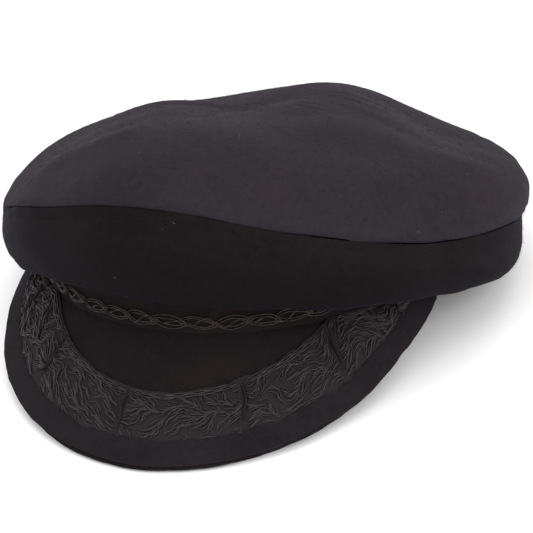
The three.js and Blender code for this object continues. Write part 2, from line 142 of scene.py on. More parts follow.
# %% Sizes and the band's outline
MM = 0.001
BAND_WIDTH, BAND_LENGTH, BAND_SQUARENESS = 182.0, 197.0, 1.9
CROWN_HEIGHT, CROWN_OVERHANG = 90.0, 30.0
PEAK_DEPTH, PEAK_SEAT, PEAK_GAP = 62.5, 6.728, 0.3  # the gap is between the band and the peak
PEAK_HALF, PEAK_SLOPE, CORNER_SLOPE = 77.0, 42.0, 45.0  # degrees
TIPPED_BACK = math.radians(9.905)
MOVED = Vector((-8.2914, 7.7794, 13.5549))


def on_table(point):
    """A point of the upright cap, in millimetres, where it is once the cap lies on the table, in metres."""
    turned = Matrix.Rotation(-TIPPED_BACK, 3, "X") @ Vector(point)
    return (turned + MOVED) * MM


def off_table(place):
    """The same the other way: where a place on the table is on the upright cap, in millimetres."""
    return Matrix.Rotation(TIPPED_BACK, 3, "X") @ (place / MM - MOVED)


def turn_of(place):
    """The direction of a place on the table round the head, from 0 to 360 degrees."""
    upright = off_table(place)
    return math.degrees(math.atan2(upright.x, -upright.y)) % 360


def band_reach(turn):
    """How far the band's outside lies from the middle of the head."""
    across = abs(math.sin(math.radians(turn)) / (BAND_WIDTH / 2)) ** BAND_SQUARENESS
    along = abs(math.cos(math.radians(turn)) / (BAND_LENGTH / 2)) ** BAND_SQUARENESS
    return (across + along) ** (-1 / BAND_SQUARENESS)


def point_at(turn, reach, height):
    """A point of the upright cap."""
    return Vector((reach * math.sin(math.radians(turn)), -reach * math.cos(math.radians(turn)), height))


def outward(turn, step=0.01):
    """The level direction straight out of the band."""
    before, after = turn - step, turn + step
    along = point_at(after, band_reach(after), 0) - point_at(before, band_reach(before), 0)
    return Vector((along.y, -along.x, 0)).normalized()


outline = [point_at(t, band_reach(t), 0) for t in range(361)]
print("girth of the band", round(sum((b - a).length for a, b in zip(outline, outline[1:]))), "mm")

# %% [markdown]
# ## Lines on the cap
#
# The seam round the crown and the peak's edge come from tables of a few values. Straight stretches
# between them would show as corners, so a smooth curve is led through the values: its slope at each
# one is the mean of the slopes on both sides. Points along the seam go into a search tree, which
# finds the nearest of them at once and tells how far any place on the cloth is from the seam.

# %% Smooth tables
def gentle(share):
    """A share from 0 to 1 that starts and ends level."""
    return share * share * (3 - 2 * share)


def smooth_through(stations, values, level_start=False):
    """A smooth curve through values at rising stations, as a function."""
    last = len(stations) - 1
    chords = [(values[i + 1] - values[i]) / (stations[i + 1] - stations[i]) for i in range(last)]
    slopes = [chords[0]] + [(chords[i - 1] + chords[i]) / 2 for i in range(1, last)] + [chords[-1]]
    if level_start:
        slopes[0] = 0.0

    def curve(x):
        i = min(max(sum(1 for s in stations if s <= x) - 1, 0), last - 1)
        step = stations[i + 1] - stations[i]
        t = (x - stations[i]) / step
        rise = gentle(t)
        return (values[i] * (1 - rise) + values[i + 1] * rise
                + step * (slopes[i] * t * (1 - t) ** 2 - slopes[i + 1] * t * t * (1 - t)))

    return curve

# %% The seam's line
SEAM_TABLE = [  # turn, seam out, seam up, bulge out, bulge up, as shares of the overhang and the height
    (0, 0.845, 0.765, 0.92, 0.555), (30, 0.715, 0.595, 0.97, 0.445), (60, 0.875, 0.42, 1.03, 0.3),
    (90, 1.1, 0.3, 1.1, 0.07), (120, 1.2, 0.165, 1.15, 0.075), (150, 1.065, 0.29, 1.015, 0.18),
    (180, 0.985, 0.385, 1.05, 0.29), (210, 0.89, 0.355, 0.995, 0.255), (240, 0.745, 0.335, 0.85, 0.175),
    (270, 0.545, 0.365, 0.655, 0.165), (300, 0.53, 0.43, 0.575, 0.27), (330, 0.765, 0.635, 0.73, 0.44),
]
laps = [(row[0] + 360 * lap, *row[1:]) for lap in (-1, 0, 1) for row in SEAM_TABLE]
seam_out, seam_up, bulge_out, bulge_up = (
    smooth_through([row[0] for row in laps], [row[c] for row in laps]) for c in (1, 2, 3, 4))


def seam_point(turn):
    """Where the seam is, once the cap lies on the table."""
    turn %= 360
    reach = band_reach(turn) + CROWN_OVERHANG * seam_out(turn)
    return on_table(point_at(turn, reach, CROWN_HEIGHT * seam_up(turn)))


def bulge_point(turn):
    """Where the side panel stands out furthest, below the seam."""
    turn %= 360
    reach = band_reach(turn) + CROWN_OVERHANG * bulge_out(turn)
    return on_table(point_at(turn, reach, CROWN_HEIGHT * bulge_up(turn)))


PER_DEGREE = 4
seam_line = KDTree(360 * PER_DEGREE)
for step in range(360 * PER_DEGREE):
    seam_line.insert(seam_point(step / PER_DEGREE), step)
seam_line.balance()
seam_length = sum((seam_point(t) - seam_point(t + 1)).length for t in range(360))
print("seam is", round(seam_length, 3), "m long")

# %% The peak's surface
peak_share = smooth_through([0, 0.25, 0.5, 0.75, 1], [1, 0.885, 0.655, 0.375, 0.16], level_start=True)
trim_share = smooth_through([0, 0.25, 0.5, 0.75, 1], [0.88, 0.96, 1.08, 1.12, 1.16], level_start=True)
TABLE_RISE = math.tan(TIPPED_BACK)
FRONT_EDGE = -BAND_LENGTH / 2 - PEAK_GAP - PEAK_DEPTH * math.cos(math.radians(PEAK_SLOPE))


def peak_slope(turn):
    """How steeply the peak falls away from the band, in radians: a little steeper at its corners."""
    along = min(1, 2 * min(1, abs(turn) / PEAK_HALF))
    return math.radians(PEAK_SLOPE + (CORNER_SLOPE - PEAK_SLOPE) * along)


def peak_depth(turn):
    """How deep the peak is, cut off where its edge would go below the table."""
    slope = peak_slope(turn)
    root = point_at(turn, band_reach(turn), 0)
    drop = PEAK_DEPTH * math.sin(math.radians(PEAK_SLOPE)) - TABLE_RISE * (root.y - FRONT_EDGE)
    to_table = drop / (math.sin(slope) + TABLE_RISE * outward(turn).y * math.cos(slope))
    return min(PEAK_DEPTH * peak_share(min(1, abs(turn) / PEAK_HALF)), to_table)


def peak_point(turn, distance, above):
    """A point over the peak: how far out from the band down the slope, and how far off its face."""
    slope, out = peak_slope(turn), outward(turn)
    down = out * math.cos(slope) + Vector((0, 0, -math.sin(slope)))
    off = out * math.sin(slope) + Vector((0, 0, math.cos(slope)))
    root = point_at(turn, band_reach(turn), PEAK_SEAT) + out * PEAK_GAP
    return on_table(root + down * distance + off * above)


middle_depth = (peak_point(0, peak_depth(0), 0) - peak_point(0, 0, 0)).length
print("peak is", round(middle_depth, 4), "m deep")

# %% [markdown]
# ## From solid to cloth
#
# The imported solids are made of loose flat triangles. For a soft piece we copy the triangles, merge
# their corners, and take out the diagonal of each pair, which gives back the even rows of four-sided
# faces that subdivision likes. The first row below a seam can be cut finer, so that the cloth can turn
# sharply there. Subdivision also shrinks a rounded shape, so `baked` first moves each corner out by
# about as much as it was drawn in, except at the seam. It then applies the subdivision, so that dents
# can be pressed into real points.

# %% Helpers that turn a solid into cloth
SEAM_KEPT = 0.0035  # nearer the seam than this, in metres, corners stay where the solid has them
TABLE_GAP = 0.0001  # no point of the cloth is lower over the table than this, in metres


def linked(name, data):
    """A new object in the scene, for a mesh or a curve."""
    piece = bpy.data.objects.new(name, data)
    bpy.context.scene.collection.objects.link(piece)
    return piece


def even_rows(solid):
    """A copy of a solid as merged four-sided faces."""
    bm = bmesh.new()
    bm.from_mesh(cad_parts[solid].data)
    bmesh.ops.remove_doubles(bm, verts=bm.verts, dist=0.00001)
    bm.faces.ensure_lookup_table()
    diagonals, i = [], 0
    while i + 1 < len(bm.faces):
        shared = set(bm.faces[i].edges) & set(bm.faces[i + 1].edges)
        if len(shared) == 1:
            diagonals.append(shared.pop())
            i += 2
        else:
            i += 1
    bmesh.ops.dissolve_edges(bm, edges=diagonals, use_verts=False, use_face_split=False)
    others = sum(len(f.verts) != 4 for f in bm.faces)
    print(solid, "has", len(bm.faces), "faces, of which", others, "not four-sided")
    return bm


def baked(name, bm, levels, back_out=0.7):
    """The mesh as an object, subdivided and shaded smooth, with back_out of its shrinking made good."""
    mesh = bpy.data.meshes.new(name)
    bm.to_mesh(mesh)
    bm.free()
    piece = linked(name, mesh)
    smoothing = piece.modifiers.new("smooth", "SUBSURF")
    smoothing.levels = smoothing.render_levels = levels
    goals = [v.co.copy() for v in mesh.vertices]
    free = [back_out if seam_line.find(goal)[2] > SEAM_KEPT else 0.0 for goal in goals]
    for _ in range(2):
        smooth = piece.evaluated_get(bpy.context.evaluated_depsgraph_get()).data
        moves = [(goal - smooth.vertices[i].co) * free[i] for i, goal in enumerate(goals)]
        for corner, move in zip(mesh.vertices, moves):
            corner.co += move
        mesh.update()
    finer = bpy.data.meshes.new_from_object(piece.evaluated_get(bpy.context.evaluated_depsgraph_get()))
    piece.modifiers.clear()
    piece.data = finer
    finer.shade_smooth()
    return piece


def pressed(piece, height):
    """Moves each point along its normal by height(place, normal) metres, but never into the table."""
    moved = [v.co + v.normal * height(v.co, v.normal) for v in piece.data.vertices]
    numbers = [n for place in moved for n in (place.x, place.y, max(place.z, TABLE_GAP))]
    piece.data.vertices.foreach_set("co", numbers)
    piece.data.update()
    return piece


def kept(piece, slot, *nodes):
    """Fixes a finished piece to the cap, in place of its solids."""
    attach(piece, "root")
    if nodes:
        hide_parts(*nodes)
    triangles = sum(len(f.vertices) - 2 for f in piece.data.polygons)
    print(piece.name, "has", triangles, "triangles")

# %% [markdown]
# ## Felt
#
# Wool felt is a mat of crimped fibres. From a step away it is a deep, slightly mottled black; close up
# it has short pale hairs in all directions, and at grazing angles those hairs catch the light, which
# is what Sheen does. The pattern is noise on Object coordinates at three sizes: patches of a few
# centimetres, clumps of two millimetres, and fibres, which are noise drawn out along three directions.
# A bump map lifts the fibres. A face that looks down is painted darker, which is painted shade as
# under a light from above. Sheen, roughness and specular are plain numbers on the shader.

# %% Helpers for shader nodes
def node(tree, kind, links=(), **values):
    """Adds a shader node, sets its sockets by name and its properties, and links what links names."""
    made = tree.nodes.new(kind)
    for key, value in values.items():
        if key.replace("_", " ") in made.inputs:
            made.inputs[key.replace("_", " ")].default_value = value
        else:
            setattr(made, key, value)
    for socket, source in dict(links).items():
        tree.links.new(source, made.inputs[socket])
    return made


def maths(tree, operation, *terms):
    """A maths node on sockets and plain numbers."""
    made = node(tree, "ShaderNodeMath", operation=operation)
    for socket, term in zip(made.inputs, terms):
        if isinstance(term, float):
            socket.default_value = term
        else:
            tree.links.new(term, socket)
    return made.outputs[0]


def tones(tree, factor, dark, light, low, high):
    """A colour from dark to light, as factor goes from low to high."""
    ramp = node(tree, "ShaderNodeValToRGB", {"Fac": factor})
    ramp.color_ramp.elements[0].position, ramp.color_ramp.elements[0].color = low, (*dark, 1)
    ramp.color_ramp.elements[1].position, ramp.color_ramp.elements[1].color = high, (*light, 1)
    return ramp.outputs["Color"]

# %% Felt material
FIBRE_TURNS = ((0.3, 0.2, 0.1), (1.3, 0.9, 0.5), (2.2, 0.4, 1.9))  # radians round x, y and z
FIBRE_SCALE = (350.0, 2600.0, 2600.0)
# painted shade on faces that look down: full at the first of these normal heights, gone at the second
SHADED_BELOW, LIT_ABOVE = -0.7, 0.2  # upward parts of a face's normal


def felt_fibres(tree, place):
    """Fine hairs in three directions, as a height."""
    fibres = None
    for turned in FIBRE_TURNS:
        drawn_out = node(tree, "ShaderNodeMapping", {"Vector": place}, Rotation=turned, Scale=FIBRE_SCALE)
        strand = node(tree, "ShaderNodeTexNoise", {"Vector": drawn_out.outputs["Vector"]},
                      Scale=1.0, Detail=2.0, Distortion=0.6).outputs["Fac"]
        fibres = strand if fibres is None else maths(tree, "MAXIMUM", fibres, strand)
    return fibres


def felt(name, dark, light, sheen, shade=1.0):
    """Fulled wool in two tones. shade is how light its lower faces are painted, as a share of the upper ones:
    painted shade.
    """
    material = bpy.data.materials.new(name)
    material.use_nodes = True
    tree = material.node_tree
    shader = tree.nodes["Principled BSDF"]
    coordinates = node(tree, "ShaderNodeTexCoord")
    place = coordinates.outputs["Object"]
    patches = node(tree, "ShaderNodeTexNoise", {"Vector": place}, Scale=28.0, Detail=3.0, Roughness=0.6)
    clumps = node(tree, "ShaderNodeTexNoise", {"Vector": place},
                  Scale=420.0, Detail=4.0, Roughness=0.65, Distortion=0.4)
    fibres = felt_fibres(tree, place)
    total = maths(tree, "ADD", maths(tree, "ADD", patches.outputs["Fac"], clumps.outputs["Fac"]), fibres)
    colour = tones(tree, maths(tree, "DIVIDE", total, 3.0), dark, light, 0.3, 0.75)
    # Painted shade: a face that looks down gets a darker colour, down to the share shade of its own colour.
    upward = node(tree, "ShaderNodeSeparateXYZ", {"Vector": coordinates.outputs["Normal"]}).outputs["Z"]
    painted_shade = node(tree, "ShaderNodeMapRange", {"Value": upward},
                From_Min=SHADED_BELOW, From_Max=LIT_ABOVE, To_Min=shade, To_Max=1.0).outputs["Result"]
    shaded_colour = node(tree, "ShaderNodeVectorMath", {0: colour, "Scale": painted_shade}, operation="SCALE")
    tree.links.new(shaded_colour.outputs["Vector"], shader.inputs["Base Color"])
    clump_bump = node(tree, "ShaderNodeBump", {"Height": clumps.outputs["Fac"]},
                      Strength=0.4, Distance=0.00025)
    fibre_bump = node(tree, "ShaderNodeBump", {"Height": fibres, "Normal": clump_bump.outputs["Normal"]},
                      Strength=0.7, Distance=0.00012)
    tree.links.new(fibre_bump.outputs["Normal"], shader.inputs["Normal"])
    shader.inputs["Roughness"].default_value = 0.95
    shader.inputs["Diffuse Roughness"].default_value = 0.6
    shader.inputs["Specular IOR Level"].default_value = 0.06
    shader.inputs["Sheen Weight"].default_value = sheen
    shader.inputs["Sheen Roughness"].default_value = 0.45
    shader.inputs["Sheen Tint"].default_value = (0.60, 0.60, 1.0, 1)
    return material

# %% The five felts
# Top and side panel are one felt: the top's lighter tones are painted light, the side's darker tones painted
# shade.
top_felt = felt("black_felt_top", (0.0123, 0.0099, 0.0122), (0.0296, 0.0240, 0.0297), 0.01)
side_felt = felt("black_felt_side", (0.0035, 0.0024, 0.0026), (0.0122, 0.0086, 0.0094), 0.02, shade=0.4)
band_felt = felt("black_felt_band", (0.0045, 0.0033, 0.0034), (0.0177, 0.0130, 0.0136), 0.01)
peak_felt = felt("black_felt_peak", (0.0046, 0.0034, 0.0034), (0.0163, 0.0117, 0.0121), 0.01)
rim_felt = felt("black_felt_rim", (0.0056, 0.0043, 0.0050), (0.0202, 0.0157, 0.0181), 0.03)
print("felts:", [m.name for m in bpy.data.materials if "felt" in m.name])

# %% [markdown]
# ## The crests of the top panel
#
# The crown is two pieces of felt: a top panel, and a side panel that bulges over the band and turns
# under. The top has slumped, and two crests run across it. A crest is a narrow fold that catches the
# light, with a faint hollow on both sides. It could be sculpted by hand, but a crest drawn as a short
# line in plan, with a height worked out from the distance to the line, is easy to shift and repeat.

# %% Crests of the top panel
CRESTS = {  # x and y in millimetres
    "right": [(-84, -44), (-70, -50), (-50, -57), (-35, -53), (-23, -48)],
    "left": [(30, -36), (41, -22), (53, -12), (65, -8), (77, -4), (88, 1), (98, 6), (108, 8), (117, 11)],
}
CREST_LIFT, CREST_WIDTH, CREST_LEAN = 0.0018, 0.0090, 0.0020  # metres; the lean makes the front narrower
HOLLOW_DEPTH = 0.0007
FRONT_HOLLOW, BACK_HOLLOW = (0.020, 0.009), (0.016, 0.007)  # how far off the crest, and how wide
crest_parts = []
for line in CRESTS.values():
    corners = [Vector((x, y, 0)) * MM for x, y in line]
    ends = [sum((b - a).length for a, b in zip(corners[:i], corners[1:i + 1])) for i in range(len(corners))]
    for i, (a, b) in enumerate(zip(corners, corners[1:])):
        crest_parts.append((a, b - a, Vector(((b - a).y, (a - b).x, 0)).normalized(), ends[i], ends[-1]))


def hump(distance, width):
    """A smooth hill: 1 at distance 0, and next to nothing from two widths on."""
    return math.exp(-(distance / width) ** 2)


def crest_height(place):
    """How far the crests lift the felt at a place, in metres."""
    flat = Vector((place.x, place.y, 0))
    best = None
    for start, part, front, before, whole in crest_parts:
        share = min(1, max(0, (flat - start).dot(part) / part.length_squared))
        away = flat - start - part * share
        if best is None or away.length < best[0]:
            best = (away.length, away.dot(front), (before + share * part.length) / whole)
    far, ahead, along = best
    facing = ahead / max(far, 0.0005)
    hollow = HOLLOW_DEPTH * max(0, facing) * hump(far - FRONT_HOLLOW[0], FRONT_HOLLOW[1])
    hollow += HOLLOW_DEPTH * max(0, -facing) * hump(far - BACK_HOLLOW[0], BACK_HOLLOW[1])
    fold = CREST_LIFT * hump(far, CREST_WIDTH - CREST_LEAN * facing)
    return math.sin(math.pi * along) ** 0.5 * (fold - hollow)


print("crests have", len(crest_parts), "parts")

# %% [markdown]
# ## The crown's two panels
#
# Cloth simulation would lose the sag and the crests that this cap has in the picture, so the shape is
# the maker's solid, subdivided, with the facets eased out and soft dents pressed in by code. The felt
# rolls up a little above the seam, and below it lies a ledge that ends in the groove of the stitches.
# At the front right the lower fold hangs down over the end of the embroidery, so the side panel sags
# there. Last, both edges are drawn on to the seam's line, so that no gap shows between the panels.

# %% Helpers for the crown's felt
SEAM_ROW = 0.0026  # corners this near the seam, in metres, belong to the panel's edge
STITCH_DROP = 0.0042  # from the seam down to the stitches, in metres
EASED_FROM = 0.008  # nearer the seam than this, in metres, nothing is eased
MEETING, DRAWN_IN = 0.0008, 0.8  # points this near the seam, in metres, go this share of the way to it
ROLL_HEIGHT, ROLL_AT, ROLL_WIDTH = 0.0004, 0.0035, 0.0018  # metres, on the top panel
LEDGE_HEIGHT, LEDGE_END, LEDGE_SLOPE = 0.00022, 0.0036, 0.0005  # metres, on the side panel
GROOVE_DEEP, GROOVE_WIDE = 0.00020, 0.0007  # metres, under the stitches
SAG, SAG_TURN, SAG_BEFORE, SAG_AFTER = 0.0095, 314, 5, 23  # metres, and then degrees
SAG_FROM, SAG_OVER, SAG_OUT = 12, 26, 9  # millimetres below the seam, and outside the band


def finer_at_seam(bm, cuts):
    """Cuts the row of faces next to the seam into narrow rows."""
    near = {v for v in bm.verts if seam_line.find(v.co)[2] < SEAM_ROW}
    ring = [e for e in bm.edges if (e.verts[0] in near) != (e.verts[1] in near)]
    bmesh.ops.subdivide_edges(bm, edges=ring, cuts=cuts, use_grid_fill=True)
    return bm


def eased(piece, times):
    """Evens out the faint facets of a piece, away from its seam."""
    bm = bmesh.new()
    bm.from_mesh(piece.data)
    inside = [v for v in bm.verts if seam_line.find(v.co)[2] > EASED_FROM]
    for _ in range(times):
        bmesh.ops.smooth_vert(bm, verts=inside, factor=0.5, use_axis_x=True, use_axis_y=True, use_axis_z=True)
    bm.to_mesh(piece.data)
    bm.free()
    return piece


def soft_dents(place, depth):
    """The slow unevenness of a worn felt, and its fine lumps."""
    slow = noise.noise(place * 16.0) + 0.3 * noise.noise(place * 34.0 + Vector((3, 1, 2)))
    fine = noise.noise(place * 160.0)
    return depth * (slow + 0.03 * fine)


def top_relief(place, normal):
    """Dents, the roll beside the seam, and the crests."""
    far = seam_line.find(place)[2]
    roll = ROLL_HEIGHT * hump(far - ROLL_AT, ROLL_WIDTH)
    crest = crest_height(place) * max(0, normal.z) * min(1, far / 0.02)
    return soft_dents(place, 0.0006) * min(1, far / 0.01) + roll + crest


def side_relief(place, normal):
    """Dents, and the ledge below the seam with the groove of the stitches at its end."""
    far = seam_line.find(place)[2]
    ledge = LEDGE_HEIGHT / (1 + math.exp((far - LEDGE_END) / LEDGE_SLOPE))
    ledge -= GROOVE_DEEP * hump(far - STITCH_DROP, GROOVE_WIDE)
    return soft_dents(place, 0.0005) * min(1, far / 0.012) + ledge


def sag(place):
    """How far the lower fold hangs down over the end of the trim, in metres."""
    turn, upright = turn_of(place), off_table(place)
    low = min(1, max(0, ((seam_line.find(place)[0].z - place.z) / MM - SAG_FROM) / SAG_OVER))
    out = min(1, max(0, (math.hypot(upright.x, upright.y) - band_reach(turn)) / SAG_OUT))
    around = hump(turn - SAG_TURN, SAG_BEFORE if turn < SAG_TURN else SAG_AFTER)
    return SAG * around * gentle(low) * gentle(out)

# %% Top and side panels
top_rows = finer_at_seam(even_rows("crown_top"), cuts=2)
crown_top = pressed(eased(baked("crown_top_felt", top_rows, levels=2, back_out=1.0), times=12), top_relief)
side_rows = finer_at_seam(even_rows("crown_side"), cuts=5)
crown_side = pressed(baked("crown_side_felt", side_rows, levels=2, back_out=1.0), side_relief)
for vertex in crown_side.data.vertices:
    vertex.co.z -= sag(vertex.co)
for panel in (crown_top, crown_side):
    for vertex in panel.data.vertices:
        nearest, _, far = seam_line.find(vertex.co)
        if far < MEETING:
            vertex.co += (nearest - vertex.co) * DRAWN_IN
crown_top.data.materials.append(top_felt)
crown_side.data.materials.append(side_felt)
kept(crown_top, "top_felt", "crown_top")
kept(crown_side, "side_felt", "crown_side")
for panel in (crown_top, crown_side):
    print(panel.name, "surface", round(sum(f.area for f in panel.data.polygons), 4), "m2, both faces")

# %% [markdown]
# ## The stitches below the seam
#
# A row of machine stitches holds the seam allowance down, about four millimetres below the seam. A
# stitch is a tiny bead, drawn out to 2.4 mm, and it is laid along the seam's line on the cloth, sunk
# until it hardly shows. One bead is made of few faces, because there are about two hundred of them.

# %% Seam stitches
def bead(bm, place, along, off, length, thickness):
    """Adds one stitch: a small ball drawn out along the thread."""
    side = along.cross(off).normalized()
    above = side.cross(along).normalized()
    drawn_out = Matrix((side * thickness / 2, along * length / 2, above * thickness / 2)).transposed()
    matrix = Matrix.Translation(place) @ drawn_out.to_4x4() @ Matrix.Rotation(math.pi / 2, 4, "X")
    bmesh.ops.create_uvsphere(bm, u_segments=6, v_segments=5, radius=1.0, matrix=matrix)


def stitch_row(name, line, surface, length, gap, thickness, sink):
    """Stitches along a line of points, laid on a surface and sunk into it."""
    bm = bmesh.new()
    travelled, due = 0.0, 0.0
    for here, there in zip(line, line[1:]):
        travelled += (there - here).length
        if travelled < due:
            continue
        due = travelled + length + gap
        place, off, _, _ = surface.find_nearest(here)
        bead(bm, place + off * thickness * (0.5 - sink), (there - here).normalized(), off, length, thickness)
    bmesh.ops.recalc_face_normals(bm, faces=bm.faces)
    mesh = bpy.data.meshes.new(name)
    bm.to_mesh(mesh)
    bm.free()
    mesh.shade_smooth()
    return linked(name, mesh)


PLACES_PER_DEGREE = 5
side_surface = BVHTree.FromObject(crown_side, bpy.context.evaluated_depsgraph_get())
below_seam = []
for step in range(360 * PLACES_PER_DEGREE):
    seam, bulge = seam_point(step / PLACES_PER_DEGREE), bulge_point(step / PLACES_PER_DEGREE)
    below = seam + (bulge - seam).normalized() * STITCH_DROP
    below_seam.append(side_surface.find_nearest(below)[0])
seam_stitches = stitch_row(
    "seam_stitches", below_seam, side_surface, length=0.0024, gap=0.0009, thickness=0.00035, sink=0.85)

# %% [markdown]
# ## Thread
#
# The stitches, the embroidery and the braid are mercerised cotton or rayon: darker than the felt
# in its hollows, but it catches narrow glints. Twist shows as slanting lines round each thread, as a
# bump and as colour: the darker tone in the twist's hollows is painted shade, and the lighter tone on
# its crowns is painted light. Where a thread was made from a curve it has a UV map that runs along
# and round it, so a wave on the UV makes the twist.

# %% Thread material
def thread(name, dark, light, roughness, turns, sheen=0.0, shine=0.2):
    """Twisted thread. turns is how many times its twist shows along one piece."""
    material = bpy.data.materials.new(name)
    material.use_nodes = True
    tree = material.node_tree
    shader = tree.nodes["Principled BSDF"]
    coordinates = node(tree, "ShaderNodeTexCoord")
    along = node(tree, "ShaderNodeMapping", {"Vector": coordinates.outputs["UV"]}, Scale=(turns, 1.0, 1.0))
    wave = node(tree, "ShaderNodeTexWave", {"Vector": along.outputs["Vector"]},
                Scale=0.35, wave_type="BANDS", bands_direction="DIAGONAL")
    uneven = node(tree, "ShaderNodeTexNoise", {"Vector": coordinates.outputs["Object"]},
                  Scale=700.0, Detail=3.0)
    mixed = maths(tree, "MULTIPLY", wave.outputs["Fac"], uneven.outputs["Fac"])
    # Painted shade and light: the colour follows the twist, dark in its hollows and light on its crowns; the
    # fine noise is the thread's own unevenness.
    tree.links.new(tones(tree, mixed, dark, light, 0.1, 0.6), shader.inputs["Base Color"])
    bump = node(tree, "ShaderNodeBump", {"Height": mixed}, Strength=0.6, Distance=0.00012)
    tree.links.new(bump.outputs["Normal"], shader.inputs["Normal"])
    shader.inputs["Roughness"].default_value = roughness
    shader.inputs["Specular IOR Level"].default_value = shine
    shader.inputs["Sheen Weight"].default_value = sheen
    shader.inputs["Sheen Roughness"].default_value = 0.5
    return material


sewing_thread = thread("black_sewing_thread", (0.004, 0.0033, 0.004), (0.012, 0.010, 0.012), 0.8, turns=3)
trim_thread = thread(
    "grey_embroidery_thread", (0.0172, 0.0139, 0.0150), (0.0371, 0.0307, 0.0326), 0.55, turns=12, sheen=0.02)
# The black braid cord's light tone, ten times its dark one, is painted highlight: glints on its strands
# painted into the twist.
braid_thread = thread(
    "black_braid_cord", (0.0080, 0.0060, 0.0052), (0.078, 0.060, 0.050), 0.45, turns=90, sheen=0.02)
# The embroidery ground is a little darker than the thread on it: painted shade in the gaps between the
# threads.
pad_thread = thread(
    "dark_embroidery_ground", (0.0154, 0.0123, 0.0133), (0.0317, 0.0258, 0.0277), 0.8, turns=12, shine=0.1)
seam_stitches.data.materials.append(sewing_thread)
kept(seam_stitches, "side_felt")

# %% [markdown]
# ## The band and the peak
#
# Band and peak are stiff: felt over a firm board. Their solids already have the right shape, and only
# their corners are too crisp for folded cloth. Two levels of subdivision round them, and a very low
# relief keeps the cloth from looking like plastic. The binding is a strip folded over the peak's edge,
# and it gets slight puckers where it goes round the curve.

# %% Band, peak and binding
def cloth_relief(depth):
    """The low unevenness of cloth over a board, as a function for pressed."""
    return lambda place, normal: depth * (noise.noise(place * 45.0) + 0.4 * noise.noise(place * 210.0))


band = pressed(baked("band_felt_ring", even_rows("band"), 2), cloth_relief(0.00012))
peak = pressed(baked("peak_felt_board", even_rows("peak"), 2), cloth_relief(0.00015))
binding = pressed(baked("peak_rim_binding", even_rows("peak_binding"), 2), cloth_relief(0.00025))
for piece, material, slot, solid in (
    (band, band_felt, "band_felt", "band"),
    (peak, peak_felt, "peak_felt", "peak"),
    (binding, rim_felt, "binding_felt", "peak_binding"),
):
    piece.data.materials.append(material)
    kept(piece, slot, solid)

# %% [markdown]
# ## Threads as curves
#
# Embroidery and braid are thin round things on long bent paths. A curve with a round bevel is made for
# that: one curve object holds hundreds of paths, and each point may have its own thickness. The curve
# is turned into a mesh at once, with its ends closed.

# %% Helper for many threads
def strands(name, paths, thickness, closed=False, sides=4, tapered=False):
    """One mesh of round threads along many paths of points in metres."""
    curve = bpy.data.curves.new(name, "CURVE")
    curve.dimensions, curve.bevel_depth, curve.use_fill_caps = "3D", thickness / 2, not closed
    curve.bevel_resolution = max(0, (sides - 4) // 2)
    for path in paths:
        spline = curve.splines.new("POLY")
        spline.points.add(len(path) - 1)
        spline.points.foreach_set("co", [c for point in path for c in (*point, 1.0)])
        spline.use_cyclic_u = closed
        if tapered:
            last = len(path) - 1
            radii = [max(0.25, 1 - abs(2 * i / last - 1) ** 3) for i in range(last + 1)]
            spline.points.foreach_set("radius", radii)
    rope = linked(name + "_curve", curve)
    mesh = bpy.data.meshes.new_from_object(rope.evaluated_get(bpy.context.evaluated_depsgraph_get()))
    bpy.data.objects.remove(rope)
    mesh.name = name
    mesh.shade_smooth()
    return linked(name, mesh)

# %% [markdown]
# ## The embroidery on the peak
#
# Between the binding and the plain cloth runs a padded strip in panels, with a sunk joint between two
# panels. It is filled with thread that follows the peak round, but swirls like grain in wood. That is
# a flow: at each place a slow noise says which way the thread runs, and each thread is walked along
# the flow in short steps, with a fine wave of its own. A layer of thin threads covers the pad, and
# thick ones over it are the ribs of the leaves. Under both lies the pad, in a darker tone, which is
# painted shade in the gaps between the threads. Each joint is closed by a bowed line of dark sewing
# thread, whose dark colour also paints the shade in the sunk joint. Places on the trim are in
# millimetres, and a place across it is a share: 0 at its inner edge and 1 at the binding.

# %% Paths on the trim
TRIM_WIDTH, TRIM_INSET = 25.0, 10.3
TRIM_HALF, JOINT_ANGLE, FIRST_JOINT = 68.0, 22.0, -49.0  # degrees
PAD_SUNK, PAD_CROWN = -1.0, 1.6
WALK_STEP, WAVE_LENGTH = 0.8, 4.4
DIP_DEPTH, DIP_WIDTH = 0.5, 0.9  # of the threads at a joint


def trim_edges(turn):
    """How far out on the peak the trim starts and ends."""
    outer = peak_depth(turn) - TRIM_INSET
    return max(0.5, outer - TRIM_WIDTH * trim_share(abs(turn) / PEAK_HALF)), outer


def trim_point(turn, share, lift):
    """A point over the pad: at a share of its width, and lift off it."""
    inner, outer = trim_edges(turn)
    pad = PAD_SUNK + PAD_CROWN * math.sqrt(math.sin(math.pi * min(0.94, max(0.06, share))))
    return peak_point(turn, inner + (outer - inner) * share, pad + lift)


def flow(turn, share, panel_number):
    """The slant of the threads at a place of the trim, in radians."""
    place = Vector((turn * 0.2, share * 2.2, panel_number * 3.7))
    return 1.7 * noise.noise(place) + 1.0 * noise.noise(place * 2.6 + Vector((5, 0, 0)))


